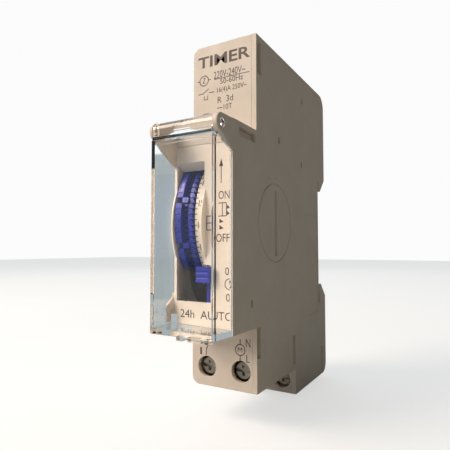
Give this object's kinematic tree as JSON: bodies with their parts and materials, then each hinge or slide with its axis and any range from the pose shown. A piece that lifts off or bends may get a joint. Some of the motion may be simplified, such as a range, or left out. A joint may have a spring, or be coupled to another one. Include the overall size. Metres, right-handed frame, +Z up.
{
  "type": "time switch",
  "caption": "Narrow rail mounted 24 hour time switch with a vertical program dial of sliding trippers behind a hinged clear cover.",
  "frame": {"origin": "centre of the seat that rests on the 35 mm mounting rail", "axes": "+X across the module to its cover side, +Y back towards the rail, +Z up"},
  "size_m": [0.0176, 0.0678, 0.091],
  "materials": {
    "case": "satin moulded thermoplastic",
    "face": "satin moulded thermoplastic",
    "clear": "clear polycarbonate",
    "dial_white": "satin",
    "blue": "satin blue plastic",
    "black": "matt black plastic",
    "acetal": "natural acetal",
    "steel": "zinc plated steel",
    "brass": "brass strip",
    "bronze": "spring bronze",
    "contact": "silver alloy",
    "magnet": "sintered ferrite",
    "core": "laminated electrical steel",
    "copper": "enamelled copper wire",
    "bobbin": "glass filled nylon",
    "board": "glass epoxy laminate",
    "cell": "nickel plated can",
    "film": "epoxy dipped film",
    "chip": "moulded epoxy",
    "ceramic_part": "lacquered ceramic"
  },
  "bodies": {
    "housing": {"case_tub": "case", "side_cover": "case", "front_plate": "face", "dial_axle": "steel", "movement_plate": "black", "train_arbors": "steel", "motor_stator": "core", "coil_bobbin": "bobbin", "coil_winding": "copper", "circuit_board": "board", "backup_battery": "cell", "dropper_capacitor": "film", "quartz_crystal": "cell", "control_chip": "chip", "fuse_resistor": "ceramic_part", "busbar_switched": "brass", "busbar_load": "brass", "busbar_neutral": "brass", "busbar_line": "brass", "fixed_contact": "contact", "lever_pin": "steel", "latch_spring": "steel"},
    "cover": {"clear_cover": "clear"},
    "dial": {"dial_wheel": "dial_white", "tripper_carrier": "blue", "other_trippers": "blue"},
    "clutch_pinion": {"clutch_pinion": "acetal"},
    "clutch_wheel": {"clutch_wheel": "brass"},
    "third_wheel": {"third_wheel": "acetal"},
    "second_wheel": {"second_wheel": "acetal"},
    "first_wheel": {"first_wheel": "acetal"},
    "rotor": {"rotor_magnet": "magnet", "rotor_pinion": "acetal"},
    "manual_switch": {"manual_switch": "blue"},
    "lever": {"switch_lever": "black"},
    "blade": {"contact_blade": "bronze", "blade_contact": "contact"},
    "latch": {"rail_latch": "case"},
    "screw_front_left": {"screw_front_left": "steel"},
    "clamp_front_left": {"clamp_front_left": "steel"},
    "screw_front_right": {"screw_front_right": "steel"},
    "clamp_front_right": {"clamp_front_right": "steel"},
    "screw_rear_left": {"screw_rear_left": "steel"},
    "clamp_rear_left": {"clamp_rear_left": "steel"},
    "screw_rear_right": {"screw_rear_right": "steel"},
    "clamp_rear_right": {"clamp_rear_right": "steel"},
    "tripper_01": {"tripper_01": "blue"},
    "tripper_02": {"tripper_02": "blue"},
    "tripper_03": {"tripper_03": "blue"},
    "tripper_04": {"tripper_04": "blue"},
    "tripper_05": {"tripper_05": "blue"},
    "tripper_06": {"tripper_06": "blue"},
    "tripper_07": {"tripper_07": "blue"},
    "tripper_08": {"tripper_08": "blue"},
    "tripper_09": {"tripper_09": "blue"},
    "tripper_10": {"tripper_10": "blue"},
    "tripper_11": {"tripper_11": "blue"},
    "tripper_12": {"tripper_12": "blue"},
    "tripper_13": {"tripper_13": "blue"}
  },
  "joints": [
    {"name": "cover_hinge", "type": "hinge", "parent": "housing", "child": "cover", "pos_m": [0, -0.0592, 0.02155], "axis": [-1, 0, 0], "range_deg": [0, 110]},
    {"name": "dial_turn", "type": "hinge", "parent": "housing", "child": "dial", "pos_m": [0, -0.0332, 0.00282], "axis": [-1, 0, 0], "continuous": true},
    {"name": "clutch_pinion_spin", "type": "hinge", "parent": "housing", "child": "clutch_pinion", "pos_m": [0, -0.01741, -0.00293], "axis": [-1, 0, 0], "continuous": true},
    {"name": "rotor_spin", "type": "hinge", "parent": "housing", "child": "rotor", "pos_m": [0, -0.01216, 0.03485], "axis": [-1, 0, 0], "continuous": true},
    {"name": "first_wheel_spin", "type": "hinge", "parent": "housing", "child": "first_wheel", "pos_m": [0, -0.01216, 0.02435], "axis": [-1, 0, 0], "continuous": true},
    {"name": "second_wheel_spin", "type": "hinge", "parent": "housing", "child": "second_wheel", "pos_m": [0, -0.01741, 0.01526], "axis": [-1, 0, 0], "continuous": true},
    {"name": "third_wheel_spin", "type": "hinge", "parent": "housing", "child": "third_wheel", "pos_m": [0, -0.01216, 0.00617], "axis": [-1, 0, 0], "continuous": true},
    {"name": "clutch_wheel_spin", "type": "hinge", "parent": "housing", "child": "clutch_wheel", "pos_m": [0, -0.01741, -0.00293], "axis": [-1, 0, 0], "continuous": true},
    {"name": "manual_switch_slide", "type": "slide", "parent": "housing", "child": "manual_switch", "axis": [0, 0, -1], "range_m": [0, 0.0043]},
    {"name": "lever_pivot", "type": "hinge", "parent": "housing", "child": "lever", "pos_m": [0, -0.0465, -0.018], "axis": [1, 0, 0], "range_deg": [-9.5, 0], "stiffness_Nm_per_rad": 0.004, "springref_deg": 5.73},
    {"name": "blade_flex", "type": "hinge", "parent": "housing", "child": "blade", "pos_m": [0, -0.0255, -0.02315], "axis": [1, 0, 0], "range_deg": [0, 9]},
    {"name": "latch_slide", "type": "slide", "parent": "housing", "child": "latch", "axis": [0, 0, -1], "range_m": [0, 0.0033], "stiffness_N_per_m": 300, "springref_m": -0.003, "deforming": ["latch_spring"]},
    {"name": "screw_front_left_turn", "type": "hinge", "parent": "housing", "child": "screw_front_left", "pos_m": [-0.0046, -0.044, -0.03175], "axis": [0, 1, 0], "range_deg": [0, 1440]},
    {"name": "clamp_front_left_slide", "type": "slide", "parent": "housing", "child": "clamp_front_left", "axis": [0, -1, 0], "range_m": [0, 0.0021]},
    {"name": "screw_front_right_turn", "type": "hinge", "parent": "housing", "child": "screw_front_right", "pos_m": [0.0046, -0.044, -0.03175], "axis": [0, 1, 0], "range_deg": [0, 1440]},
    {"name": "clamp_front_right_slide", "type": "slide", "parent": "housing", "child": "clamp_front_right", "axis": [0, -1, 0], "range_m": [0, 0.0021]},
    {"name": "screw_rear_left_turn", "type": "hinge", "parent": "housing", "child": "screw_rear_left", "pos_m": [-0.0046, -0.0203, -0.03935], "axis": [0, 1, 0], "range_deg": [0, 1440]},
    {"name": "clamp_rear_left_slide", "type": "slide", "parent": "housing", "child": "clamp_rear_left", "axis": [0, -1, 0], "range_m": [0, 0.0021]},
    {"name": "screw_rear_right_turn", "type": "hinge", "parent": "housing", "child": "screw_rear_right", "pos_m": [0.0046, -0.0203, -0.03935], "axis": [0, 1, 0], "range_deg": [0, 1440]},
    {"name": "clamp_rear_right_slide", "type": "slide", "parent": "housing", "child": "clamp_rear_right", "axis": [0, -1, 0], "range_m": [0, 0.0021]},
    {"name": "tripper_01_slide", "type": "slide", "parent": "dial", "child": "tripper_01", "axis": [1, 0, 0], "range_m": [0, 0.00165]},
    {"name": "tripper_02_slide", "type": "slide", "parent": "dial", "child": "tripper_02", "axis": [1, 0, 0], "range_m": [0, 0.00165]},
    {"name": "tripper_03_slide", "type": "slide", "parent": "dial", "child": "tripper_03", "axis": [1, 0, 0], "range_m": [-0.00165, 0]},
    {"name": "tripper_04_slide", "type": "slide", "parent": "dial", "child": "tripper_04", "axis": [1, 0, 0], "range_m": [0, 0.00165]},
    {"name": "tripper_05_slide", "type": "slide", "parent": "dial", "child": "tripper_05", "axis": [1, 0, 0], "range_m": [0, 0.00165]},
    {"name": "tripper_06_slide", "type": "slide", "parent": "dial", "child": "tripper_06", "axis": [1, 0, 0], "range_m": [0, 0.00165]},
    {"name": "tripper_07_slide", "type": "slide", "parent": "dial", "child": "tripper_07", "axis": [1, 0, 0], "range_m": [0, 0.00165]},
    {"name": "tripper_08_slide", "type": "slide", "parent": "dial", "child": "tripper_08", "axis": [1, 0, 0], "range_m": [0, 0.00165]},
    {"name": "tripper_09_slide", "type": "slide", "parent": "dial", "child": "tripper_09", "axis": [1, 0, 0], "range_m": [0, 0.00165]},
    {"name": "tripper_10_slide", "type": "slide", "parent": "dial", "child": "tripper_10", "axis": [1, 0, 0], "range_m": [0, 0.00165]},
    {"name": "tripper_11_slide", "type": "slide", "parent": "dial", "child": "tripper_11", "axis": [1, 0, 0], "range_m": [-0.00165, 0]},
    {"name": "tripper_12_slide", "type": "slide", "parent": "dial", "child": "tripper_12", "axis": [1, 0, 0], "range_m": [0, 0.00165]},
    {"name": "tripper_13_slide", "type": "slide", "parent": "dial", "child": "tripper_13", "axis": [1, 0, 0], "range_m": [0, 0.00165]}
  ],
  "couplings": [
    {"joint": "clutch_pinion_spin", "follows": "dial_turn", "ratio": -6},
    {"joint": "first_wheel_spin", "follows": "rotor_spin", "ratio": -0.16667},
    {"joint": "second_wheel_spin", "follows": "rotor_spin", "ratio": 0.027778},
    {"joint": "third_wheel_spin", "follows": "rotor_spin", "ratio": -0.0046296},
    {"joint": "clutch_wheel_spin", "follows": "rotor_spin", "ratio": 0.0007716},
    {"joint": "blade_flex", "follows": "lever_pivot", "ratio": -0.31579},
    {"joint": "screw_front_left_turn", "follows": "clamp_front_left_slide", "rad_per_m": 8976},
    {"joint": "screw_front_right_turn", "follows": "clamp_front_right_slide", "rad_per_m": 8976},
    {"joint": "screw_rear_left_turn", "follows": "clamp_rear_left_slide", "rad_per_m": 8976},
    {"joint": "screw_rear_right_turn", "follows": "clamp_rear_right_slide", "rad_per_m": 8976}
  ]
}
